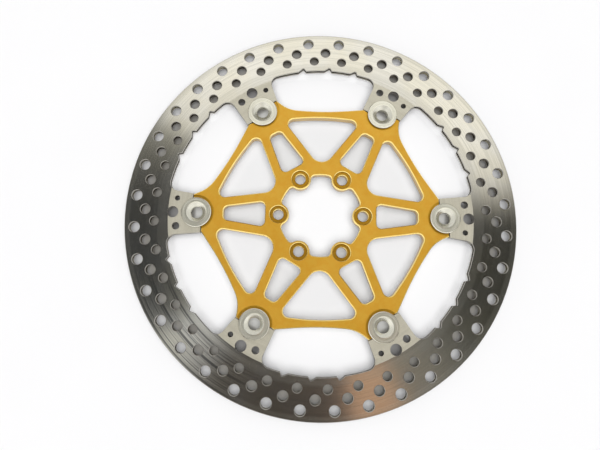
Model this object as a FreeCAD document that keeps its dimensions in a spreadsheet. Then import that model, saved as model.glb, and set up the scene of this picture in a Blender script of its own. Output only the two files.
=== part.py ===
import FreeCAD, Part
import math
import os
import Sketcher

# Ventilated floating brake disc rotor. The disc axis is Z and the hub's mounting face is z = 0.
# +Z points away from the wheel. Bobbin 1 lies on +X and the others follow every 60 degrees.

SECTORS = 6
SECTOR_ANGLE = 360 / SECTORS
HOLE_PITCHES = 36
NOTCHES = 3

DIMENSIONS = {
    # brake ring
    "DiscDiameter": 203,
    "PlateThickness": 1.0,
    "VentGap": 1.3,
    "RimRadius": 80.8,
    "RimChamfer": 0.25,
    "HoleChamfer": 0.2,
    "OuterRowRadius": 96.4,
    "OuterRowAngle": 5,
    "OuterRowDiameter": 5.5,
    "MiddleRowRadius": 91.1,
    "MiddleRowAngle": -0.7,
    "MiddleRowDiameter": 5.2,
    "InnerRowRadius": 86.2,
    "InnerRowAngle": 3.3,
    "InnerRowDiameter": 4.7,
    "FirstNotchAngle": 17.5,
    "NotchPitch": 10,
    "NotchDepth": 1.9,
    "NotchSteepRun": 1.3,
    "NotchRampRun": 3.0,
    "NotchRound": 0.6,
    # tabs that carry the ring on the bobbins
    "TabRootRadius": 83,
    "SpacerRootRadius": 81.2,
    "TabRootHalfWidth": 12.5,
    "TabRootFillet": 4.5,
    "TabLongFoot": 61.95,
    "TabLongHalfWidth": 10.4,
    "TabShortFoot": 66.8,
    "TabShortHalfWidth": 10.0,
    "TabWindowRadius": 76.8,
    "TabWindowDiameter": 5.9,
    "TabHoleRadius": 75.1,
    "TabHoleAngle": 5.6,
    "TabWideHoleDiameter": 3.9,
    "TabNarrowHoleDiameter": 2.8,
    # cooling vanes between the two plates
    "VaneWidth": 2.8,
    "VaneInnerRadius": 84.0,
    "VaneInnerAngle": 10.1,
    "VaneOuterRadius": 99.4,
    "VaneOuterAngle": -2.4,
    # bobbins and their washers
    "BobbinCircle": 129,
    "BarrelDiameter": 12,
    "SeatDiameter": 12.1,
    "FlangeDiameter": 15.6,
    "FlangeThickness": 1.0,
    "FlangeChamfer": 0.35,
    "FaceGrooveInnerDiameter": 11.2,
    "FaceGrooveOuterDiameter": 13.4,
    "FaceGrooveDepth": 0.12,
    "BowlDiameter": 10,
    "BowlDepth": 1.7,
    "BobbinBore": 6.2,
    "BobbinBoreLength": 1.5,
    "TailBore": 8.2,
    "NeckDiameter": 9,
    "LipDiameter": 10.6,
    "LipThickness": 0.5,
    "LipChamfer": 0.25,
    "RearWasherBore": 9.1,
    "RearWasherDiameter": 15,
    "RearWasherThickness": 1.0,
    "WaveWasherBore": 12.2,
    "WaveWasherDiameter": 14.8,
    "WaveWasherThickness": 0.25,
    "WaveHeight": 0.22,
    "WaveRoom": 0.8,
    "AxialFloat": 0.15,
    # carrier
    "CarrierThickness": 4.5,
    "FrontRecessDepth": 0.9,
    "RearRecessDepth": 0.6,
    "RecessDiameter": 18.2,
    "CarrierChamfer": 0.45,
    "LowHornFoot": 61.55,
    "LowHornHalfWidth": 9.9,
    "HighHornFoot": 66.35,
    "HighHornHalfWidth": 9.6,
    "HornRootRadial": 59.1,
    "HornRootHalfWidth": 12.6,
    "HornRootRound": 17,
    "MemberApothem": 56.2,
    "MemberRound": 156,
    "LargeWindowOuter": 53.76,
    "LargeWindowOuterRound": 118,
    "LargeWindowCornerApothem": 51.63,
    "LargeWindowCornerOffset": 20.98,
    "LargeWindowCornerRound": 3.1,
    "LargeWindowInner": 24.9,
    "LargeWindowInnerRound": 6.3,
    "SlotOuter": 50.4,
    "SlotOuterHalfWidth": 3.4,
    "SlotInner": 28.9,
    "SlotInnerHalfWidth": 6.7,
    "SlotRound": 2.6,
    # hub interface
    "BoltCircle": 44,
    "BoltHoleDiameter": 5.4,
    "SpotFaceDiameter": 9.0,
    "SpotFaceDepth": 0.8,
    "BoltHoleChamfer": 0.3,
    "HubOpeningRadius": 21.5,
    "BossRadius": 5.6,
    "BossRootRound": 2.2,
}

doc = FreeCAD.newDocument("brake_disc_rotor")
sheet = doc.addObject("Spreadsheet::Sheet", "Dims")
for row, (alias, number) in enumerate(DIMENSIONS.items(), start=1):
    sheet.set(f"A{row}", alias)
    sheet.set(f"B{row}", str(number))
    sheet.setAlias(f"B{row}", alias)
doc.recompute()


# ---------------------------------------------------------------- helpers

def value(expression):
    """The number that an expression on the sheet's cells gives."""
    return float(sheet.evalExpression(expression))


def polar(radius, angle):
    """Cartesian expressions for a point at a radius and an angle in degrees."""
    return f"{radius} * cos({angle})", f"{radius} * sin({angle})"


def turned(x, y, angle):
    """Expressions for the point (x, y) turned about the disc axis by an angle in degrees."""
    return f"({x}) * cos({angle}) - ({y}) * sin({angle})", f"({x}) * sin({angle}) + ({y}) * cos({angle})"


def origin_feature(body, role):
    for feature in body.Origin.OriginFeatures:
        if feature.Role == role:
            return feature
    raise ValueError(role)


def new_body(label):
    body = doc.addObject("PartDesign::Body", label)
    body.Label = label
    return body


def new_sketch(body, name, height="0", role="XY_Plane"):
    """A sketch on one of the body's own origin planes, lifted along the plane's normal."""
    sketch = body.newObject("Sketcher::SketchObject", name)
    sketch.AttachmentSupport = (origin_feature(body, role), [""])
    sketch.MapMode = "FlatFace"
    sketch.setExpression("AttachmentOffset.Base.z", height)
    return sketch


def drive(sketch, kind, references, expression):
    """Add a dimension and bind it to the sheet."""
    index = sketch.addConstraint(Sketcher.Constraint(kind, *references, value(expression)))
    sketch.setExpression(f"Constraints[{index}]", expression)


def pin_point(sketch, geometry, position, x, y):
    """Hold a point at the expressions (x, y) from the sketch's origin."""
    drive(sketch, "DistanceX", (-1, 1, geometry, position), x)
    drive(sketch, "DistanceY", (-1, 1, geometry, position), y)


def add_circle(sketch, x, y, diameter):
    centre = FreeCAD.Vector(value(x), value(y), 0)
    index = sketch.addGeometry(Part.Circle(centre, FreeCAD.Vector(0, 0, 1), value(diameter) / 2), False)
    pin_point(sketch, index, 3, x, y)
    drive(sketch, "Diameter", (index,), diameter)


def corner_arc(before, corner, after, radius):
    """The arc that rounds a corner, with the points where it leaves and joins the straight sides."""
    towards_before = (before - corner).normalize()
    towards_after = (after - corner).normalize()
    half_angle = towards_before.getAngle(towards_after) / 2
    reach = radius / math.tan(half_angle)
    centre_line = (towards_before + towards_after).normalize()
    centre = corner + centre_line * (radius / math.sin(half_angle))
    first = corner + towards_before * reach
    last = corner + towards_after * reach
    turns_left = towards_before.cross(towards_after).z < 0
    start, end = (first, last) if turns_left else (last, first)
    start_angle = math.atan2(start.y - centre.y, start.x - centre.x)
    end_angle = math.atan2(end.y - centre.y, end.x - centre.x)
    circle = Part.Circle(centre, FreeCAD.Vector(0, 0, 1), radius)
    return Part.ArcOfCircle(circle, start_angle, end_angle), first, last, turns_left


def add_loop(sketch, corners):
    """Draw a closed outline through corners (x, y, radius); a radius of None leaves a sharp corner."""
    points = [FreeCAD.Vector(value(x), value(y), 0) for x, y, _ in corners]
    count = len(corners)
    leaving = []
    joining = []
    arcs = []
    for i, (_, _, radius) in enumerate(corners):
        if radius is None:
            leaving.append(points[i])
            joining.append(points[i])
            arcs.append(None)
            continue
        arc, first, last, turns_left = corner_arc(
            points[i - 1], points[i], points[(i + 1) % count], value(radius))
        joining.append(first)
        leaving.append(last)
        arcs.append((sketch.addGeometry(arc, False), turns_left))
    lines = [
        sketch.addGeometry(Part.LineSegment(leaving[i], joining[(i + 1) % count]), False)
        for i in range(count)
    ]
    for i, (x, y, radius) in enumerate(corners):
        line_in = lines[i - 1]
        line_out = lines[i]
        if radius is None:
            sketch.addConstraint(Sketcher.Constraint("Coincident", line_in, 2, line_out, 1))
            pin_point(sketch, line_out, 1, x, y)
            continue
        arc, turns_left = arcs[i]
        arc_in, arc_out = (1, 2) if turns_left else (2, 1)
        corner = sketch.addGeometry(Part.Point(points[i]), True)
        pin_point(sketch, corner, 1, x, y)
        sketch.addConstraint(Sketcher.Constraint("PointOnObject", corner, 1, line_in))
        sketch.addConstraint(Sketcher.Constraint("PointOnObject", corner, 1, line_out))
        sketch.addConstraint(Sketcher.Constraint("Tangent", line_in, 2, arc, arc_in))
        sketch.addConstraint(Sketcher.Constraint("Tangent", line_out, 1, arc, arc_out))
        drive(sketch, "Radius", (arc,), radius)


def pad(body, sketch, length):
    feature = body.newObject("PartDesign::Pad", sketch.Name + "Pad")
    feature.Profile = sketch
    feature.setExpression("Length", length)
    sketch.Visibility = False
    doc.recompute()
    return feature


def pocket(body, sketch, depth=None):
    """Cut downwards from the sketch, right through when no depth is given."""
    feature = body.newObject("PartDesign::Pocket", sketch.Name + "Pocket")
    feature.Profile = sketch
    if depth is None:
        feature.Type = "ThroughAll"
    else:
        feature.setExpression("Length", depth)
    before = feature.BaseFeature.Shape.Volume
    doc.recompute()
    if feature.Shape.Volume >= before:
        raise ValueError(f"{feature.Name} cuts nothing")
    return feature


def repeat(body, features, count):
    """Repeat features evenly around the disc axis."""
    pattern = body.newObject("PartDesign::PolarPattern", features[0].Name + "Ring")
    pattern.Originals = features
    pattern.Axis = (origin_feature(body, "Z_Axis"), [""])
    pattern.Angle = 360
    pattern.Occurrences = count
    body.Tip = pattern
    doc.recompute()
    return pattern


def edges_where(shape, test):
    """Names of the edges that pass a test."""
    return [f"Edge{i}" for i, edge in enumerate(shape.Edges, start=1) if test(edge)]


def dress(body, kind, size_property, size, base, edges):
    """Add a fillet or chamfer of a given size to some edges."""
    feature = body.newObject(kind, base.Name + kind.split("::")[1])
    feature.Base = (base, edges)
    feature.setExpression(size_property, size)
    body.Tip = feature
    doc.recompute()
    return feature


def is_round(edge):
    return isinstance(edge.Curve, Part.Circle)


def is_upright(edge):
    return isinstance(edge.Curve, Part.Line) and abs(edge.Curve.Direction.z) > 0.999


def axis_distance(edge):
    return math.hypot(edge.CenterOfMass.x, edge.CenterOfMass.y)


def lies_at(edge, height):
    """True for an edge that lies flat at one height."""
    box = edge.BoundBox
    return abs(box.ZMin - height) < 1e-4 and abs(box.ZMax - height) < 1e-4


def lift(body, height):
    body.setExpression("Placement.Base.z", height)


# ---------------------------------------------------------------- brake ring

def tab_corners(root_radius):
    """Outline of one tab. It reaches further in on one side of the bobbin than on the other."""
    return [
        ("Dims.TabLongFoot", "Dims.TabLongHalfWidth", None),
        ("Dims.TabLongFoot", "0", None),
        ("Dims.TabShortFoot", "0", None),
        ("Dims.TabShortFoot", "-Dims.TabShortHalfWidth", None),
        (root_radius, "-Dims.TabRootHalfWidth", None),
        (root_radius, "Dims.TabRootHalfWidth", None),
    ]


def add_tab_holes(sketch):
    """The bobbin seat and the three round holes in a tab."""
    add_circle(sketch, "Dims.BobbinCircle / 2", "0", "Dims.SeatDiameter")
    add_circle(sketch, "Dims.TabWindowRadius", "0", "Dims.TabWindowDiameter")
    add_circle(sketch, *polar("Dims.TabHoleRadius", "Dims.TabHoleAngle"), "Dims.TabWideHoleDiameter")
    add_circle(sketch, *polar("Dims.TabHoleRadius", "-Dims.TabHoleAngle"), "Dims.TabNarrowHoleDiameter")


def notch_corners(angle):
    """A saw-tooth notch in the inner rim, drawn deeper than the rim so that it cuts clear."""
    overshoot = 1.5
    apex_radius = "(Dims.RimRadius + Dims.NotchDepth)"
    foot_radius = f"(Dims.RimRadius + Dims.NotchDepth * {1 - overshoot})"
    degrees_per_run = f"{overshoot} * 180 / pi / Dims.RimRadius"
    ramp = f"({angle}) + Dims.NotchRampRun * {degrees_per_run}"
    steep = f"({angle}) - Dims.NotchSteepRun * {degrees_per_run}"
    return [
        (*polar(apex_radius, angle), "Dims.NotchRound"),
        (*polar(foot_radius, ramp), None),
        (*polar(foot_radius, steep), None),
    ]


def brake_plate(label, height, outside_is_top):
    """One friction plate: a drilled ring with six tabs."""
    body = new_body(label)
    outline = new_sketch(body, label + "_ring")
    add_circle(outline, "0", "0", "Dims.DiscDiameter")
    add_circle(outline, "0", "0", "Dims.RimRadius * 2")
    pad(body, outline, "Dims.PlateThickness")

    tab = new_sketch(body, label + "_tab")
    add_loop(tab, tab_corners("Dims.TabRootRadius"))
    tabs = repeat(body, [pad(body, tab, "Dims.PlateThickness")], SECTORS)

    rim = value("Dims.RimRadius")
    roots = edges_where(tabs.Shape, lambda edge: is_upright(edge) and abs(axis_distance(edge) - rim) < 0.01)
    dress(body, "PartDesign::Fillet", "Radius", "Dims.TabRootFillet", tabs, roots)

    notches = new_sketch(body, label + "_notches", "Dims.PlateThickness")
    for i in range(NOTCHES):
        add_loop(notches, notch_corners(f"Dims.FirstNotchAngle + {i} * Dims.NotchPitch"))
    repeat(body, [pocket(body, notches)], SECTORS)

    seats = new_sketch(body, label + "_seats", "Dims.PlateThickness")
    add_tab_holes(seats)
    repeat(body, [pocket(body, seats)], SECTORS)

    rows = new_sketch(body, label + "_rows", "Dims.PlateThickness")
    for row in ("OuterRow", "MiddleRow", "InnerRow"):
        add_circle(rows, *polar(f"Dims.{row}Radius", f"Dims.{row}Angle"), f"Dims.{row}Diameter")
    drilled = repeat(body, [pocket(body, rows)], HOLE_PITCHES)

    outside = value("Dims.PlateThickness") if outside_is_top else 0
    row_radii = [value(f"Dims.{row}Diameter") / 2 for row in ("OuterRow", "MiddleRow", "InnerRow")]

    def is_hole_mouth(edge):
        at_mouth = is_round(edge) and lies_at(edge, outside)
        return at_mouth and min(abs(edge.Curve.Radius - radius) for radius in row_radii) < 1e-4

    mouths = edges_where(drilled.Shape, is_hole_mouth)
    softened = dress(body, "PartDesign::Chamfer", "Size", "Dims.HoleChamfer", drilled, mouths)

    outer = value("Dims.DiscDiameter") / 2

    def is_outer_rim(edge):
        return is_round(edge) and lies_at(edge, outside) and abs(edge.Curve.Radius - outer) < 1e-4

    dress(body, "PartDesign::Chamfer", "Size", "Dims.RimChamfer", softened,
          edges_where(softened.Shape, is_outer_rim))
    lift(body, height)
    return body


def tab_spacers():
    """Solid packing between the plates at the six tabs."""
    body = new_body("tab_spacers")
    body.AllowCompound = True
    outline = new_sketch(body, "spacer_outline")
    add_loop(outline, tab_corners("Dims.SpacerRootRadius"))
    block = pad(body, outline, "Dims.VentGap")
    holes = new_sketch(body, "spacer_holes", "Dims.VentGap")
    add_tab_holes(holes)
    repeat(body, [block, pocket(body, holes)], SECTORS)
    lift(body, "Dims.RearRecessDepth + Dims.PlateThickness")
    return body


def cooling_vanes():
    """Slanted bars between the plates, one beside each slanted line of three holes."""
    body = new_body("cooling_vanes")
    body.AllowCompound = True
    outline = new_sketch(body, "vane_outline")
    inner_x, inner_y = polar("Dims.VaneInnerRadius", "Dims.VaneInnerAngle")
    outer_x, outer_y = polar("Dims.VaneOuterRadius", "Dims.VaneOuterAngle")
    length = math.hypot(value(outer_x) - value(inner_x), value(outer_y) - value(inner_y))
    across_x = f"(({outer_y}) - ({inner_y})) * Dims.VaneWidth / 2 / {length:.4f}"
    across_y = f"(({inner_x}) - ({outer_x})) * Dims.VaneWidth / 2 / {length:.4f}"
    add_loop(outline, [
        (f"{inner_x} + {across_x}", f"{inner_y} + {across_y}", "Dims.VaneWidth * 0.45"),
        (f"{outer_x} + {across_x}", f"{outer_y} + {across_y}", "Dims.VaneWidth * 0.45"),
        (f"{outer_x} - {across_x}", f"{outer_y} - {across_y}", "Dims.VaneWidth * 0.45"),
        (f"{inner_x} - {across_x}", f"{inner_y} - {across_y}", "Dims.VaneWidth * 0.45"),
    ])
    repeat(body, [pad(body, outline, "Dims.VentGap")], HOLE_PITCHES)
    lift(body, "Dims.RearRecessDepth + Dims.PlateThickness")
    return body


# ---------------------------------------------------------------- carrier

def carrier():
    """The spider: a six-sided frame with horns at the bobbins, twelve spokes and six bolt bosses."""
    body = new_body("carrier")
    wedge = new_sketch(body, "carrier_wedge")
    next_bobbin = f"{SECTOR_ANGLE}"
    add_loop(wedge, [
        ("0", "0", None),
        ("Dims.LowHornFoot", "0", None),
        ("Dims.LowHornFoot", "Dims.LowHornHalfWidth", None),
        (*polar("Dims.MemberApothem", f"{SECTOR_ANGLE / 2}"), "Dims.MemberRound"),
        (*turned("Dims.HornRootRadial", "-Dims.HornRootHalfWidth", next_bobbin), "Dims.HornRootRound"),
        (*turned("Dims.HighHornFoot", "-Dims.HighHornHalfWidth", next_bobbin), None),
        (*turned("Dims.HighHornFoot", "0", next_bobbin), None),
    ])
    repeat(body, [pad(body, wedge, "Dims.CarrierThickness")], SECTORS)

    opening = new_sketch(body, "hub_opening", "Dims.CarrierThickness")
    add_circle(opening, "0", "0", "Dims.HubOpeningRadius * 2")
    pocket(body, opening)

    boss = new_sketch(body, "bolt_boss")
    add_circle(boss, "Dims.BoltCircle / 2", "0", "Dims.BossRadius * 2")
    bosses = repeat(body, [pad(body, boss, "Dims.CarrierThickness")], SECTORS)
    hub_radius = value("Dims.HubOpeningRadius")
    roots = edges_where(
        bosses.Shape, lambda edge: is_upright(edge) and abs(axis_distance(edge) - hub_radius) < 0.01)
    dress(body, "PartDesign::Fillet", "Radius", "Dims.BossRootRound", bosses, roots)

    windows = new_sketch(body, "windows", "Dims.CarrierThickness")
    add_loop(windows, [
        ("Dims.SlotOuter", "Dims.SlotOuterHalfWidth", "Dims.SlotRound"),
        ("Dims.SlotInner", "Dims.SlotInnerHalfWidth", "Dims.SlotRound"),
        ("Dims.SlotInner", "-Dims.SlotInnerHalfWidth", "Dims.SlotRound"),
        ("Dims.SlotOuter", "-Dims.SlotOuterHalfWidth", "Dims.SlotRound"),
    ])
    half = f"{SECTOR_ANGLE / 2}"
    corner = "Dims.LargeWindowCornerApothem"
    add_loop(windows, [
        (*polar("Dims.LargeWindowInner", half), "Dims.LargeWindowInnerRound"),
        (*turned(corner, "-Dims.LargeWindowCornerOffset", half), "Dims.LargeWindowCornerRound"),
        (*polar("Dims.LargeWindowOuter", half), "Dims.LargeWindowOuterRound"),
        (*turned(corner, "Dims.LargeWindowCornerOffset", half), "Dims.LargeWindowCornerRound"),
    ])
    cut = repeat(body, [pocket(body, windows)], SECTORS)

    top = value("Dims.CarrierThickness")
    edged = cut
    for height in (top, 0):
        edges = edges_where(edged.Shape, lambda edge, z=height: lies_at(edge, z) and in_chamfered_outline(edge))
        edged = dress(body, "PartDesign::Chamfer", "Size", "Dims.CarrierChamfer", edged, edges)

    holes = new_sketch(body, "carrier_holes", "Dims.CarrierThickness")
    add_circle(holes, "Dims.BoltCircle / 2", "0", "Dims.BoltHoleDiameter")
    add_circle(holes, "Dims.BobbinCircle / 2", "0", "Dims.SeatDiameter")
    through = pocket(body, holes)
    spot = new_sketch(body, "spot_face", "Dims.CarrierThickness")
    add_circle(spot, "Dims.BoltCircle / 2", "0", "Dims.SpotFaceDiameter")
    spot_face = pocket(body, spot, "Dims.SpotFaceDepth")
    front = new_sketch(body, "front_recess", "Dims.CarrierThickness")
    add_circle(front, "Dims.BobbinCircle / 2", "0", "Dims.RecessDiameter")
    front_recess = pocket(body, front, "Dims.FrontRecessDepth")
    rear = new_sketch(body, "rear_recess", "Dims.RearRecessDepth")
    add_circle(rear, "Dims.BobbinCircle / 2", "0", "Dims.RecessDiameter")
    rear_recess = pocket(body, rear, "Dims.RearRecessDepth")
    drilled = repeat(body, [through, spot_face, front_recess, rear_recess], SECTORS)

    floor = top - value("Dims.SpotFaceDepth")
    mouths = {top: value("Dims.SpotFaceDiameter / 2"), floor: value("Dims.BoltHoleDiameter / 2")}

    def is_bolt_mouth(edge):
        return is_round(edge) and any(
            lies_at(edge, height) and abs(edge.Curve.Radius - radius) < 1e-4 for height, radius in mouths.items())

    dress(body, "PartDesign::Chamfer", "Size", "Dims.BoltHoleChamfer", drilled,
          edges_where(drilled.Shape, is_bolt_mouth))
    return body


def in_chamfered_outline(edge):
    """True for the edges of the outline and windows, but not for the stepped ends of the horns."""
    inside_horn_ends = axis_distance(edge) < value("Dims.MemberApothem")
    return inside_horn_ends or edge.Length > value("Dims.FlangeDiameter") / 2


# ---------------------------------------------------------------- bobbins and washers

def turned_piece(label, points):
    """A turned piece from its half section, given as (radius, height) expressions."""
    body = new_body(label)
    section = new_sketch(body, label + "_section", role="XZ_Plane")
    add_loop(section, [(radius, height, None) for radius, height in points])
    turning = body.newObject("PartDesign::Revolution", label + "_turning")
    turning.Profile = section
    turning.ReferenceAxis = (section, ["V_Axis"])
    turning.Angle = 360
    body.Tip = turning
    return body


RING_TOP = "(Dims.RearRecessDepth + 2 * Dims.PlateThickness + Dims.VentGap)"
FLANGE_FOOT = f"({RING_TOP} + Dims.AxialFloat)"
FLANGE_TOP = f"({FLANGE_FOOT} + Dims.FlangeThickness)"
SHOULDER = "(Dims.RearRecessDepth - Dims.AxialFloat - Dims.WaveRoom)"
NECK_END = f"({SHOULDER} - Dims.RearWasherThickness)"
LIP_END = f"({NECK_END} - Dims.LipThickness)"


def bobbin(label):
    """Flanged hollow bobbin with a dished mouth. Its flared tail is peened over the rear washer."""
    bore = "Dims.BobbinBore / 2"
    chamfer = "Dims.FlangeChamfer"
    return turned_piece(label, [
        ("Dims.TailBore / 2", LIP_END),
        ("Dims.LipDiameter / 2 - Dims.LipChamfer", LIP_END),
        ("Dims.LipDiameter / 2", f"{LIP_END} + Dims.LipChamfer"),
        ("Dims.LipDiameter / 2", NECK_END),
        ("Dims.NeckDiameter / 2", NECK_END),
        ("Dims.NeckDiameter / 2", SHOULDER),
        ("Dims.BarrelDiameter / 2", SHOULDER),
        ("Dims.BarrelDiameter / 2", FLANGE_FOOT),
        ("Dims.FlangeDiameter / 2", FLANGE_FOOT),
        ("Dims.FlangeDiameter / 2", f"{FLANGE_TOP} - {chamfer}"),
        (f"Dims.FlangeDiameter / 2 - {chamfer}", FLANGE_TOP),
        ("Dims.FaceGrooveOuterDiameter / 2", FLANGE_TOP),
        ("Dims.FaceGrooveOuterDiameter / 2 - Dims.FaceGrooveDepth", f"{FLANGE_TOP} - Dims.FaceGrooveDepth"),
        ("Dims.FaceGrooveInnerDiameter / 2", f"{FLANGE_TOP} - Dims.FaceGrooveDepth"),
        ("Dims.BowlDiameter / 2", FLANGE_TOP),
        (bore, f"{FLANGE_TOP} - Dims.BowlDepth"),
        (bore, f"{FLANGE_TOP} - Dims.BowlDepth - Dims.BobbinBoreLength"),
    ])


def rear_washer(label):
    """Flat washer that the bobbin's tail is peened over."""
    return turned_piece(label, [
        ("Dims.RearWasherBore / 2", NECK_END),
        ("Dims.RearWasherDiameter / 2 - Dims.FlangeChamfer", NECK_END),
        ("Dims.RearWasherDiameter / 2", f"{NECK_END} + Dims.FlangeChamfer"),
        ("Dims.RearWasherDiameter / 2", SHOULDER),
        ("Dims.RearWasherBore / 2", SHOULDER),
    ])


def wave_washer(label):
    """Thin spring washer with three waves round its ring."""
    waves = 3
    points_per_wave = 8
    middle = value(f"{SHOULDER} + Dims.WaveRoom / 2")
    half_height = value("Dims.WaveHeight")
    half_thickness = value("Dims.WaveWasherThickness / 2")

    def wavy_circle(radius, lift_by):
        points = []
        for i in range(waves * points_per_wave):
            angle = 2 * math.pi * i / (waves * points_per_wave)
            height = middle + lift_by + half_height * math.cos(waves * angle)
            points.append(FreeCAD.Vector(radius * math.cos(angle), radius * math.sin(angle), height))
        curve = Part.BSplineCurve()
        curve.interpolate(points, PeriodicFlag=True)
        return curve.toShape()

    inner_radius = value("Dims.WaveWasherBore / 2")
    outer_radius = value("Dims.WaveWasherDiameter / 2")
    rims = [
        wavy_circle(inner_radius, -half_thickness),
        wavy_circle(outer_radius, -half_thickness),
        wavy_circle(outer_radius, half_thickness),
        wavy_circle(inner_radius, half_thickness),
    ]
    faces = [Part.makeRuledSurface(rims[i - 1], rims[i]) for i in range(len(rims))]
    shell = Part.Shell([face for surface in faces for face in surface.Faces])
    washer = doc.addObject("Part::Feature", label)
    washer.Label = label
    washer.Shape = Part.Solid(shell)
    return washer


def place_at_bobbin(piece, number):
    x, y = polar("Dims.BobbinCircle / 2", f"{(number - 1) * SECTOR_ANGLE}")
    piece.setExpression("Placement.Base.x", x)
    piece.setExpression("Placement.Base.y", y)
    return piece


# ---------------------------------------------------------------- assembly

pieces = [
    carrier(),
    brake_plate("front_brake_plate", "Dims.RearRecessDepth + Dims.PlateThickness + Dims.VentGap", True),
    brake_plate("rear_brake_plate", "Dims.RearRecessDepth", False),
    cooling_vanes(),
    tab_spacers(),
]
for number in range(1, SECTORS + 1):
    pieces.append(place_at_bobbin(bobbin(f"bobbin_{number}"), number))
    pieces.append(place_at_bobbin(rear_washer(f"rear_washer_{number}"), number))
    pieces.append(place_at_bobbin(wave_washer(f"wave_washer_{number}"), number))

doc.recompute()
for item in doc.Objects:
    if "Invalid" in item.State or "Error" in item.State:
        raise RuntimeError(f"{item.Label}: {item.State}")
for piece in pieces:
    if piece.Shape.isNull() or not piece.Shape.isValid():
        raise RuntimeError(f"{piece.Label} has no valid shape")

os.makedirs("parts", exist_ok=True)
for piece in pieces:
    piece.Shape.exportStep(f"parts/{piece.Label}.step")
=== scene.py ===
import math

import bpy
from mathutils import Euler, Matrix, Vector


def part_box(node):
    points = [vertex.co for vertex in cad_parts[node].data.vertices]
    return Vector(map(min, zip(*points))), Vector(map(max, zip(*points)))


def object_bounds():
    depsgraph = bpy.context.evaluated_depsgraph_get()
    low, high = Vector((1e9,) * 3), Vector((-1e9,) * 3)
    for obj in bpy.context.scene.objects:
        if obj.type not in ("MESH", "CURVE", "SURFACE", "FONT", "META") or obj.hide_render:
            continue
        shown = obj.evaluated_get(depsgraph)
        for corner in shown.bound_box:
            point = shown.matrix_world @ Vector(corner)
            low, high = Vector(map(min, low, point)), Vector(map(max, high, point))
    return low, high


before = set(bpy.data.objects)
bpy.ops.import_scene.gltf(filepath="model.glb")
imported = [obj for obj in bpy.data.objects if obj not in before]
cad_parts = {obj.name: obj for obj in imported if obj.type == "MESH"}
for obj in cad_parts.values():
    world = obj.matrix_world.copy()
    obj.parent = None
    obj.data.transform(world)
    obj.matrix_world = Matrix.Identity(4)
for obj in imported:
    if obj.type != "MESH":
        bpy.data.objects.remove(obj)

cad_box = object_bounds()

# Lengths are in millimetres, and radii are measured from the disc axis.
MM = 0.001
SECTORS = 6
BOLT_RADIUS = 22.0
SMALL_WINDOW_RADIUS = 41.0
BOBBIN_RADIUS = sum(corner.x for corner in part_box("bobbin_1")) / 2 / MM
TAB_RADIUS = 75.5
DISC_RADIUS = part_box("front_brake_plate")[1].x / MM
CARRIER_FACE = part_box("carrier")[1].z / MM


# ---------------------------------------------------------------- shader helpers

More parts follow.
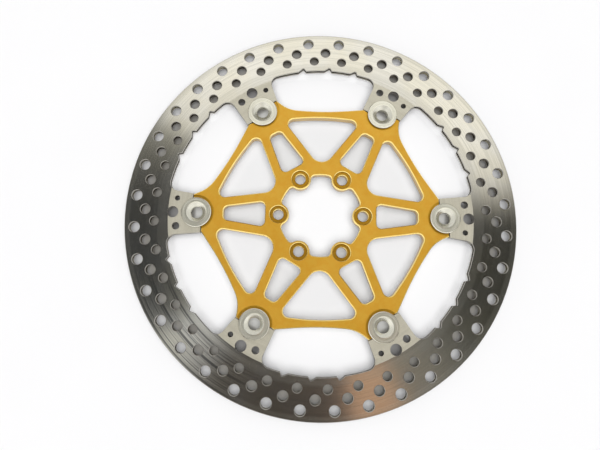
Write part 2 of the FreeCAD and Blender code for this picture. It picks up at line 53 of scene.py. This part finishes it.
class Nodes:
    """The node tree of a material or world, with short calls that add a node and link its inputs."""

    def __init__(self, owner):
        owner.use_nodes = True
        self.owner = owner
        self.tree = owner.node_tree
        self.tree.nodes.clear()

    def node(self, kind, inputs=None, **settings):
        made = self.tree.nodes.new(kind)
        for key, setting in settings.items():
            setattr(made, key, setting)
        for key, source in (inputs or {}).items():
            self.feed(made.inputs[key], source)
        return made

    def feed(self, socket, source):
        if isinstance(source, bpy.types.NodeSocket):
            self.tree.links.new(source, socket)
        elif source is not None:
            socket.default_value = source

    def math(self, operation, a, b=None, c=None, clamp=False):
        made = self.node("ShaderNodeMath", operation=operation, use_clamp=clamp)
        for socket, source in zip(made.inputs, (a, b, c)):
            self.feed(socket, source)
        return made.outputs[0]

    def product(self, a, b):
        return self.math("MULTIPLY", a, b)

    def length(self, x, y):
        return self.math("SQRT", self.math("ADD", self.product(x, x), self.product(y, y)))

    def above(self, source, low, high):
        """0 below low, 1 above high, smooth in between."""
        made = self.node("ShaderNodeMapRange", {"Value": source, "From Min": low, "From Max": high},
                         interpolation_type="SMOOTHSTEP")
        return made.outputs["Result"]

    def below(self, source, low, high):
        """1 below low, 0 above high, smooth in between."""
        return self.math("SUBTRACT", 1.0, self.above(source, low, high))

    def band(self, source, rise, fall):
        """Climbs from 0 to 1 over the range rise, and goes back to 0 over the range fall."""
        return self.product(self.above(source, *rise), self.below(source, *fall))

    def scaled(self, source, low, high):
        """Stretch a 0 to 1 value to the range low to high."""
        made = self.node("ShaderNodeMapRange", {"Value": source, "To Min": low, "To Max": high})
        return made.outputs["Result"]

    def mix(self, factor, a, b):
        """Blend two colours."""
        made = self.node("ShaderNodeMix", {"Factor": factor}, data_type="RGBA")
        self.feed(made.inputs["A"], rgba(a))
        self.feed(made.inputs["B"], rgba(b))
        return made.outputs["Result"]

    def blend(self, factor, a, b):
        """Blend two plain values."""
        made = self.node("ShaderNodeMix", {"Factor": factor, "A": a, "B": b}, data_type="FLOAT")
        return made.outputs["Result"]

    def vector(self, x, y, z):
        return self.node("ShaderNodeCombineXYZ", {"X": x, "Y": y, "Z": z}).outputs[0]

    def split(self, vector):
        return self.node("ShaderNodeSeparateXYZ", {0: vector}).outputs

    def noise(self, vector, scale, detail=2.0, roughness=0.5):
        made = self.node("ShaderNodeTexNoise", {
            "Vector": vector, "Scale": scale, "Detail": detail, "Roughness": roughness})
        return made.outputs["Fac"]

    def place_mm(self):
        """The surface point in the disc's own frame, in millimetres."""
        coordinates = self.node("ShaderNodeTexCoord").outputs["Object"]
        made = self.node("ShaderNodeVectorMath", {0: coordinates, "Scale": 1 / MM}, operation="SCALE")
        return made.outputs[0]

    def facing(self):
        """How far the surface faces along the disc axis: 1 on flat faces, 0 on side walls."""
        normal = self.node("ShaderNodeTexCoord").outputs["Normal"]
        return self.math("ABSOLUTE", self.split(normal)["Z"])

    def disc_axis(self):
        """Distance from the disc axis, and the direction from it."""
        x, y, _ = self.split(self.place_mm())
        radius = self.length(x, y)
        return radius, self.math("DIVIDE", x, radius), self.math("DIVIDE", y, radius)

    def nearest_axis(self, circle):
        """Distance from the nearest of six axes on a circle, and the direction from it."""
        x, y, _ = self.split(self.place_mm())
        sector = 2 * math.pi / SECTORS
        angle = self.math("ARCTAN2", y, x)
        nearest = self.product(self.math("ROUND", self.math("DIVIDE", angle, sector)), sector)
        dx = self.math("SUBTRACT", x, self.product(self.math("COSINE", nearest), circle))
        dy = self.math("SUBTRACT", y, self.product(self.math("SINE", nearest), circle))
        distance = self.length(dx, dy)
        return distance, self.math("DIVIDE", dx, distance), self.math("DIVIDE", dy, distance)

    def away_from(self, angle, unit_x, unit_y):
        """0 in the direction of the angle, 1 square to it and 2 behind."""
        along = self.math("ADD", self.product(unit_x, math.cos(angle)),
                          self.product(unit_y, math.sin(angle)))
        return self.math("SUBTRACT", 1.0, along)

    def ring_lines(self, axis, per_mm, sweep, detail=3.0):
        """Noise stretched round an axis, so that it reads as circular scratches."""
        radius, unit_x, unit_y = axis
        vector = self.vector(
            self.product(radius, per_mm), self.product(unit_x, sweep), self.product(unit_y, sweep))
        return self.noise(vector, 1.0, detail, 0.6)

    def bump(self, height, distance_mm, strength):
        inputs = {"Height": height, "Distance": distance_mm * MM, "Strength": strength}
        return self.node("ShaderNodeBump", inputs).outputs["Normal"]

    def bounced(self, colour, seen_by_others):
        """Give the colour's light on matt neighbours a tone of its own."""
        bounce = self.node("ShaderNodeLightPath").outputs["Is Diffuse Ray"]
        return self.mix(bounce, colour, seen_by_others)

    def surface(self, clear=None, **inputs):
        """Finish the material with a Principled surface, see-through where clear is 1."""
        named = {key.replace("_", " "): source for key, source in inputs.items()}
        shader = self.node("ShaderNodeBsdfPrincipled", named)
        if clear is not None:
            glass = self.node("ShaderNodeBsdfTransparent")
            layers = {0: clear, 1: shader.outputs[0], 2: glass.outputs[0]}
            shader = self.node("ShaderNodeMixShader", layers)
        self.node("ShaderNodeOutputMaterial", {"Surface": shader.outputs[0]})
        return self.owner


def rgba(colour):
    if isinstance(colour, (tuple, list)) and len(colour) == 3:
        return (*colour, 1.0)
    return colour


def material_nodes(name):
    return Nodes(bpy.data.materials.new(name))


# ---------------------------------------------------------------- materials

# How far a surface faces along the disc axis where it starts to count as flat, and where it does.
FLAT = (0.85, 0.97)

# Radii between which one finish of the brake plates gives way to the next.
TRACK = (78.95, 79.45)
RUBBED = ((84.0, 85.4), (98.2, 99.8))
OUTER_EDGE = (DISC_RADIUS - 1.3, DISC_RADIUS - 0.5)
# The angle round the disc where glancing light shows the grooves, so they get painted shade there.
GLANCING_LIGHT_ANGLE = math.radians(224)

TRACK_WARM = (0.70, 0.67, 0.56)
TRACK_PALE = (0.71, 0.69, 0.61)
TRACK_STREAK = (0.50, 0.48, 0.41)
TRACK_GROOVE = (0.10, 0.10, 0.098)
TRACK_UNRUBBED = (0.10, 0.10, 0.08)
TRACK_EDGE = (0.30, 0.31, 0.27)
TAB_DARK = (0.47, 0.445, 0.36)
TAB_LIGHT = (0.61, 0.58, 0.47)
TAB_STREAK = (0.42, 0.395, 0.31)
TAB_BLOTCH = (0.64, 0.615, 0.50)
STEEL_WALL = (0.42, 0.40, 0.36)
STEEL_BOUNCE = (0.12, 0.12, 0.115)


def brake_steel():
    """Stainless friction plate: machined track with circular scratches, matt tabs, darker walls."""
    s = material_nodes("brake_steel")
    place = s.place_mm()
    axis = s.disc_axis()
    radius, unit_x, unit_y = axis

    fine = s.ring_lines(axis, 2.8, 1.5)
    medium = s.ring_lines(axis, 1.4, 0.6)
    crisp = s.ring_lines(axis, 2.0, 0.45, detail=1.0)
    broad = s.ring_lines(axis, 0.55, 1.6)
    blotch = s.noise(place, 0.045, 3.0)
    grain = s.noise(place, 4.0, 3.0, 0.6)

    # Where each finish lies. The pads rub only the middle of the machined track.
    wobble = s.product(s.math("SUBTRACT", broad, 0.5), 0.5)
    machined = s.above(s.math("ADD", radius, wobble), *TRACK)
    flat = s.above(s.facing(), *FLAT)
    track = s.product(machined, flat)
    outer_edge = s.above(radius, *OUTER_EDGE)
    rubbed = s.band(radius, *RUBBED)

    # Grooves everywhere, made darker and stronger in one sector as painted shade, where glancing light
    # shows their relief.
    scratches = s.math("ADD", s.product(fine, 0.55), s.product(medium, 0.45))
    glancing_sector = s.below(s.away_from(GLANCING_LIGHT_ANGLE, unit_x, unit_y), 0.005, 0.12)
    deep = s.product(s.below(crisp, 0.41, 0.46), s.blend(glancing_sector, 0.12, 0.80))
    shallow = s.product(s.below(scratches, 0.38, 0.52), s.blend(glancing_sector, 0.10, 0.30))
    groove = s.math("MAXIMUM", deep, shallow)

    polished = s.mix(s.above(blotch, 0.4, 0.6), TRACK_WARM, TRACK_PALE)
    polished = s.mix(groove, polished, TRACK_GROOVE)
    polished = s.mix(s.product(s.above(broad, 0.45, 0.75), 0.35), polished, TRACK_STREAK)
    polished = s.mix(s.scaled(rubbed, 0.12, 0.0), polished, TRACK_UNRUBBED)
    polished = s.mix(s.product(outer_edge, 0.25), polished, TRACK_EDGE)
    matt = s.mix(s.above(grain, 0.25, 0.75), TAB_DARK, TAB_LIGHT)
    matt = s.mix(s.product(s.above(broad, 0.40, 0.65), 0.45), matt, TAB_STREAK)
    matt = s.mix(s.product(s.above(blotch, 0.45, 0.75), 0.3), matt, TAB_BLOTCH)
    colour = s.mix(flat, STEEL_WALL, s.mix(machined, matt, polished))
    colour = s.bounced(colour, STEEL_BOUNCE)

    roughness = s.blend(track, s.scaled(grain, 0.42, 0.55), s.scaled(scratches, 0.12, 0.20))
    roughness = s.blend(flat, 0.28, roughness)
    metallic = s.blend(track, s.blend(flat, 1.0, 0.45), s.scaled(rubbed, 0.965, 1.0))
    tangent = s.node("ShaderNodeTangent", direction_type="RADIAL", axis="Z").outputs[0]
    normal = s.bump(s.blend(track, grain, scratches), 0.012, 0.6)
    return s.surface(Base_Color=colour, Metallic=metallic, Roughness=roughness,
                     Anisotropic=s.product(track, 0.85), Anisotropic_Rotation=0.25,
                     Tangent=tangent, Normal=normal)


BOLT_POCKET_RADIUS = 4.7
BOBBIN_POCKET_RADIUS = 9.6
POCKET_TOP = CARRIER_FACE - 0.1

GOLD_DARK = (0.60, 0.318, 0.028)
GOLD_LIGHT = (0.68, 0.378, 0.044)
GOLD_CLOUD_DARK = (0.64, 0.300, 0.022)
GOLD_CLOUD_LIGHT = (0.66, 0.395, 0.048)
GOLD_GRAIN = (0.54, 0.285, 0.024)
GOLD_WALL = (0.58, 0.40, 0.17)
GOLD_CHAMFER_HIGHLIGHT = (1.0, 0.80, 0.30)
GOLD_TURNED_DARK = (0.50, 0.26, 0.018)
GOLD_TURNED_LIGHT = (0.66, 0.37, 0.035)
GOLD_BOLT_POCKET_SHADE = (0.44, 0.225, 0.014)
GOLD_BOUNCE = (0.62, 0.60, 0.57)


def gold_anodising():
    """Gold anodised aluminium: satin faces, machined chamfers painted bright as a highlight, and
    turned pockets painted darker as shade in the recess.
    """
    s = material_nodes("gold_anodising")
    place = s.place_mm()
    height = s.split(place)[2]
    from_bobbin, _, _ = s.nearest_axis(BOBBIN_RADIUS)
    from_bolt, _, _ = s.nearest_axis(BOLT_RADIUS)
    facing = s.facing()
    grain = s.noise(place, 7.0, 4.0, 0.6)
    blotch = s.noise(place, 0.06, 3.0)
    cloud = s.noise(place, 0.35, 3.0, 0.6)

    chamfer = s.band(facing, (0.45, 0.62), (0.8, 0.93))
    wall = s.below(facing, 0.2, 0.45)
    machined = s.math("MAXIMUM", chamfer, wall)
    in_bolt_pocket = s.math("LESS_THAN", from_bolt, BOLT_POCKET_RADIUS)
    in_bobbin_pocket = s.math("LESS_THAN", from_bobbin, BOBBIN_POCKET_RADIUS)
    pocket = s.product(s.math("LESS_THAN", height, POCKET_TOP),
                       s.math("MAXIMUM", in_bobbin_pocket, in_bolt_pocket))
    turned = s.product(pocket, s.above(facing, *FLAT))

    face = s.mix(s.above(blotch, 0.3, 0.7), GOLD_DARK, GOLD_LIGHT)
    clouds = s.mix(s.above(cloud, 0.35, 0.65), GOLD_CLOUD_DARK, GOLD_CLOUD_LIGHT)
    face = s.mix(0.35, face, clouds)
    face = s.mix(s.product(grain, 0.35), face, GOLD_GRAIN)
    # The chamfers are cut bright, and their pale colour is partly a painted highlight.
    colour = s.mix(chamfer, s.mix(wall, face, GOLD_WALL), GOLD_CHAMFER_HIGHLIGHT)
    from_pocket = s.math("MINIMUM", from_bobbin, from_bolt)
    # Turned rings on the pocket floors, painted darker as shade in the recess, darkest in the bolt
    # pockets.
    rings = s.noise(s.vector(s.product(from_pocket, 3.0), 0.0, 0.0), 1.0)
    turned_gold_and_shade = s.mix(s.above(rings, 0.35, 0.65), GOLD_TURNED_DARK, GOLD_TURNED_LIGHT)
    turned_gold_and_shade = s.mix(in_bolt_pocket, turned_gold_and_shade, GOLD_BOLT_POCKET_SHADE)
    colour = s.bounced(s.mix(turned, colour, turned_gold_and_shade), GOLD_BOUNCE)

    roughness = s.blend(machined, s.scaled(grain, 0.38, 0.50), 0.22)
    roughness = s.blend(turned, roughness, 0.34)
    metallic = s.blend(machined, s.blend(turned, 0.42, 0.75), 0.95)
    return s.surface(Base_Color=colour, Metallic=metallic, Roughness=roughness,
                     Normal=s.bump(grain, 0.006, 0.5), Specular_IOR_Level=0.3)


BOWL_RADIUS = 5.5
BOWL_SHADE = (0.50, 0.49, 0.44)
SLOPE_HIGHLIGHT = (0.90, 0.88, 0.80)


def turned_steel(name, light, dark, roughness_low, roughness_high):
    """Lathe-turned steel: fine rings round each bobbin's own axis."""
    s = material_nodes(name)
    axis = s.nearest_axis(BOBBIN_RADIUS)
    distance, unit_x, unit_y = axis
    rings = s.ring_lines(axis, 7.0, 0.6)
    wide = s.ring_lines(axis, 1.6, 0.9)
    grain = s.noise(s.place_mm(), 6.0, 3.0)
    marks = s.math("ADD", s.product(rings, 0.6), s.product(wide, 0.4))
    sloped = s.band(s.facing(), (0.40, 0.55), (0.82, 0.93))
    bowl = s.product(sloped, s.math("LESS_THAN", distance, BOWL_RADIUS))

    colour = s.mix(s.above(marks, 0.36, 0.62), dark, light)
    colour = s.mix(s.product(grain, 0.15), colour, dark)
    # Painted highlight on the sloped faces, toned down in the bowl by painted shade.
    colour = s.mix(s.product(sloped, 0.3), colour, SLOPE_HIGHLIGHT)
    colour = s.mix(s.product(bowl, 0.15), colour, BOWL_SHADE)
    roughness = s.blend(sloped, s.scaled(marks, roughness_low, roughness_high), 0.2)
    round_axis = s.vector(s.product(unit_y, -1.0), unit_x, 0.0)
    tangent = s.node("ShaderNodeVectorTransform", {"Vector": round_axis}, vector_type="VECTOR",
                     convert_from="OBJECT", convert_to="WORLD").outputs[0]
    return s.surface(Base_Color=colour, Metallic=0.8, Roughness=roughness, Anisotropic=0.4,
                     Tangent=tangent, Normal=s.bump(marks, 0.012, 0.7))


ROUGHNESS_SPREAD = 0.08


def plain_steel(name, light, dark, roughness):
    """Satin steel for the pieces between and behind the plates."""
    s = material_nodes(name)
    place = s.place_mm()
    grain = s.noise(place, 3.0, 4.0, 0.65)
    blotch = s.noise(place, 0.3, 2.0)
    colour = s.mix(s.above(grain, 0.25, 0.75), dark, light)
    colour = s.mix(s.product(blotch, 0.25), colour, dark)
    roughness = s.scaled(grain, roughness - ROUGHNESS_SPREAD, roughness + ROUGHNESS_SPREAD)
    return s.surface(Base_Color=colour, Metallic=0.9, Roughness=roughness,
                     Normal=s.bump(grain, 0.01, 0.4))


# Where the floor's painted shade and painted glow rise and fall, in radius from the disc axis.
UNDER_CARRIER = ((14, 20), (46, 58))
UNDER_RING = ((81.5, 84.0), (91.5, 97.5))
SPILL = ((77.7, 83.5), (84.0, 85.5))
# Where it gives way, in distance from the axis of each small window, bobbin and tab.
UNDER_WINDOW = (7.0, 11.0)
UNDER_BOBBIN = (3.5, 5.5)
UNDER_TAB = (8.0, 10.0)
SPILL_FROM_TAB = (10.0, 13.0)
NEAR_SIDE_ANGLE = math.radians(270)
SPILL_STRENGTH = 0.50
SPILL_STRENGTH_NEAR_SIDE = 0.13

PAPER_GREY = (0.88, 0.88, 0.89)
PAPER_WHITE = (0.90, 0.90, 0.905)
CARRIER_SHADE = (0.79, 0.79, 0.795)
WINDOW_SHADE = (0.72, 0.72, 0.72)
RING_SHADE = (0.495, 0.475, 0.435)
BOBBIN_SHADE = (0.64, 0.64, 0.64)
TAB_SHADE = (0.36, 0.355, 0.35)
WHITE = (1.0, 1.0, 1.0, 1.0)


def table_paper():
    """Plain white paper, with painted shade where it is only seen through the disc's openings, and a
    painted glow under the ring's inner edge.
    """
    s = material_nodes("table_paper")
    radius, unit_x, unit_y = s.disc_axis()
    from_window, _, _ = s.nearest_axis(SMALL_WINDOW_RADIUS)
    from_bobbin, _, _ = s.nearest_axis(BOBBIN_RADIUS)
    from_tab, _, _ = s.nearest_axis(TAB_RADIUS)

    colour = s.mix(s.noise(s.place_mm(), 0.02, 2.0), PAPER_GREY, PAPER_WHITE)
    # Painted shade on the paper under the carrier, small windows, ring, bobbins and tabs.
    colour = s.mix(s.band(radius, *UNDER_CARRIER), colour, CARRIER_SHADE)
    colour = s.mix(s.below(from_window, *UNDER_WINDOW), colour, WINDOW_SHADE)
    colour = s.mix(s.band(radius, *UNDER_RING), colour, RING_SHADE)
    colour = s.mix(s.below(from_bobbin, *UNDER_BOBBIN), colour, BOBBIN_SHADE)
    colour = s.mix(s.below(from_tab, *UNDER_TAB), colour, TAB_SHADE)

    # A painted glow, the paper's own emission, stands in for light that spills in under the ring's
    # inner edge and thins its shadow, least at the near side.
    near_side = s.below(s.away_from(NEAR_SIDE_ANGLE, unit_x, unit_y), 0.1, 0.5)
    spill = s.product(s.band(radius, *SPILL), s.above(from_tab, *SPILL_FROM_TAB))
    spill = s.product(spill, s.blend(near_side, SPILL_STRENGTH, SPILL_STRENGTH_NEAR_SIDE))

    # A camera below the table looks through the paper, at an underside that the room still lights.
    from_below = s.node("ShaderNodeNewGeometry").outputs["Backfacing"]
    shadow = s.node("ShaderNodeLightPath").outputs["Is Shadow Ray"]
    return s.surface(clear=s.math("MAXIMUM", from_below, shadow), Base_Color=colour,
                     Roughness=0.75, Specular_IOR_Level=0.2,
                     Emission_Color=WHITE, Emission_Strength=spill)


def dress_cad_nodes():
    gold = gold_anodising()
    brake = brake_steel()
    bobbin = turned_steel("bobbin_steel", light=(0.78, 0.765, 0.64), dark=(0.60, 0.583, 0.48),
                          roughness_low=0.24, roughness_high=0.38)
    washer = turned_steel("washer_steel", light=(0.62, 0.61, 0.58), dark=(0.42, 0.41, 0.39),
                          roughness_low=0.32, roughness_high=0.48)
    vane = plain_steel("vane_steel", light=(0.50, 0.48, 0.45), dark=(0.32, 0.31, 0.29),
                       roughness=0.42)
    spring = plain_steel("spring_steel", light=(0.44, 0.43, 0.42), dark=(0.28, 0.27, 0.27),
                         roughness=0.35)
    materials = {
        "carrier": gold,
        "front_brake_plate": brake,
        "rear_brake_plate": brake,
        "cooling_vanes": vane,
        "tab_spacers": vane,
    }
    for number in range(1, SECTORS + 1):
        materials[f"bobbin_{number}"] = bobbin
        materials[f"rear_washer_{number}"] = washer
        materials[f"wave_washer_{number}"] = spring
    for name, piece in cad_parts.items():
        for slot in piece.material_slots:
            slot.material = materials[name]


# ---------------------------------------------------------------- stage

FLOOR_HALF_SIZE_M = 12
FLOOR_GAP = 0.05


def add_floor(underside):
    """A level sheet just below the lowest point of the disc."""
    half = FLOOR_HALF_SIZE_M
    height = underside - FLOOR_GAP * MM
    mesh = bpy.data.meshes.new("floor")
    corners = [(x, y, height) for x, y in ((-half, -half), (half, -half), (half, half), (-half, half))]
    mesh.from_pydata(corners, [], [(0, 1, 2, 3)])
    floor = bpy.data.objects.new("floor", mesh)
    bpy.context.scene.collection.objects.link(floor)
    mesh.materials.append(table_paper())


CEILING_LIGHT_FROM = (0.03, -0.16, 1)
CEILING_LIGHT_SPREAD_DEG = 72
CEILING_LIGHT_POWER = 2.9


def add_ceiling_light():
    """Soft even light from above. Metal doesn't mirror it: it mirrors the room instead."""
    lamp = bpy.data.lights.new("ceiling_light", "SUN")
    lamp.angle = math.radians(CEILING_LIGHT_SPREAD_DEG)
    lamp.energy = CEILING_LIGHT_POWER
    holder = bpy.data.objects.new("ceiling_light", lamp)
    holder.rotation_euler = (-Vector(CEILING_LIGHT_FROM)).to_track_quat("-Z", "Y").to_euler()
    holder.visible_glossy = False
    bpy.context.scene.collection.objects.link(holder)


# The camera's place from the middle of the front plate's face, and its turn.
CAMERA_AT = (-10.5, -38.2, 211.1)
CAMERA_TURN_DEG = (8.847, -0.195, 1.414)
CAMERA_LENS = 24.82
CAMERA_SENSOR = 36

# Room brightness high above the disc. Each entry is an angle round the disc in degrees from +X, and
# the colour that the brushed ring mirrors at that angle when it is seen from the camera.
ROOM = [
    (1, (0.075, 0.075, 0.072)),
    (7, (0.43, 0.42, 0.41)),
    (14, (1.00, 0.99, 0.98)),
    (32, (1.26, 1.25, 1.24)),
    (120, (1.26, 1.25, 1.24)),
    (146, (1.06, 1.05, 1.03)),
    (153, (0.31, 0.31, 0.30)),
    (163, (0.135, 0.135, 0.135)),
    (176, (0.052, 0.054, 0.058)),
    (199, (0.048, 0.050, 0.054)),
    (212, (0.12, 0.124, 0.13)),
    (217, (0.33, 0.34, 0.35)),
    (220, (0.77, 0.79, 0.82)),
    (226, (0.67, 0.68, 0.70)),
    (232, (0.40, 0.40, 0.41)),
    (238, (0.105, 0.098, 0.098)),
    (255, (0.062, 0.054, 0.051)),
    (272, (0.080, 0.066, 0.061)),
    (278.5, (0.15, 0.115, 0.097)),
    (281, (0.62, 0.39, 0.27)),
    (293, (0.62, 0.41, 0.30)),
    (296, (0.27, 0.25, 0.225)),
    (308, (0.225, 0.22, 0.21)),
    (318, (0.118, 0.118, 0.11)),
    (332, (0.050, 0.050, 0.044)),
    (356, (0.043, 0.043, 0.040)),
]
# The room's low walls: two broad lights in front of the disc, one on each side, and plain behind it.
LOW_WALL_LIGHT = 1.32
LOW_WALL_PLAIN = 0.82
LOW_WALL_LIGHT_TOWARDS = (0.6, -0.8)
LOW_WALL_LIGHT_SHARPNESS = 3
LOW_WALL_TOP_DEG = 30
ROOM_START_DEG = 42
# A plain pale colour where the camera sees past the floor.
BACKDROP = (0.975, 0.975, 0.98)
# Matt surfaces are lit mostly by the ceiling light, and mirrors by the room.
ROOM_DIFFUSE_SHARE = 0.3


def add_room():
    """A room with bright low walls, bright above and behind the disc and dim in front of it."""
    world = bpy.data.worlds.new("room")
    bpy.context.scene.world = world
    s = Nodes(world)
    x, y, z = s.split(s.node("ShaderNodeTexCoord").outputs["Generated"])

    def mirrored_place(direction, camera_offset):
        """Where the camera sees this direction mirrored in the plane of the disc, along one axis."""
        return s.math("MULTIPLY_ADD", s.math("DIVIDE", direction, z), CAMERA_AT[2], camera_offset)

    angle = s.math("ARCTAN2", mirrored_place(y, CAMERA_AT[1]), mirrored_place(x, CAMERA_AT[0]))
    turn = s.math("FRACT", s.math("DIVIDE", angle, 2 * math.pi))
    ramp = s.node("ShaderNodeValToRGB", {"Fac": turn})
    stops = ramp.color_ramp.elements
    stops.remove(stops[-1])
    stops[0].position = ROOM[0][0] / 360
    stops[0].color = rgba(ROOM[0][1])
    for degrees, colour in ROOM[1:]:
        stops.new(degrees / 360).color = rgba(colour)

    aside = s.product(s.math("ABSOLUTE", x), LOW_WALL_LIGHT_TOWARDS[0])
    towards_light = s.math("MULTIPLY_ADD", y, LOW_WALL_LIGHT_TOWARDS[1], aside, clamp=True)
    lobe = s.math("POWER", towards_light, LOW_WALL_LIGHT_SHARPNESS)
    low_wall = s.scaled(lobe, LOW_WALL_PLAIN, LOW_WALL_LIGHT)
    high = s.above(z, math.sin(math.radians(LOW_WALL_TOP_DEG)), math.sin(math.radians(ROOM_START_DEG)))
    path = s.node("ShaderNodeLightPath").outputs
    colour = s.mix(path["Is Camera Ray"], s.mix(high, low_wall, ramp.outputs["Color"]), BACKDROP)
    strength = s.scaled(path["Is Diffuse Ray"], 1.0, ROOM_DIFFUSE_SHARE)
    background = s.node("ShaderNodeBackground", {"Color": colour, "Strength": strength})
    s.node("ShaderNodeOutputWorld", {"Surface": background.outputs[0]})


def add_camera():
    """A near view from above, a little towards the front edge."""
    camera = bpy.data.cameras.new("camera")
    camera.sensor_width = CAMERA_SENSOR
    camera.lens = CAMERA_LENS
    camera.clip_start = 0.01
    holder = bpy.data.objects.new("camera", camera)
    front_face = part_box("front_brake_plate")[1].z
    holder.location = (CAMERA_AT[0] * MM, CAMERA_AT[1] * MM, front_face + CAMERA_AT[2] * MM)
    holder.rotation_euler = Euler([math.radians(degrees) for degrees in CAMERA_TURN_DEG])
    bpy.context.scene.collection.objects.link(holder)
    bpy.context.scene.camera = holder


dress_cad_nodes()
add_floor(underside=cad_box[0][2])
add_room()
add_ceiling_light()
add_camera()
bpy.context.scene.view_settings.view_transform = "Standard"
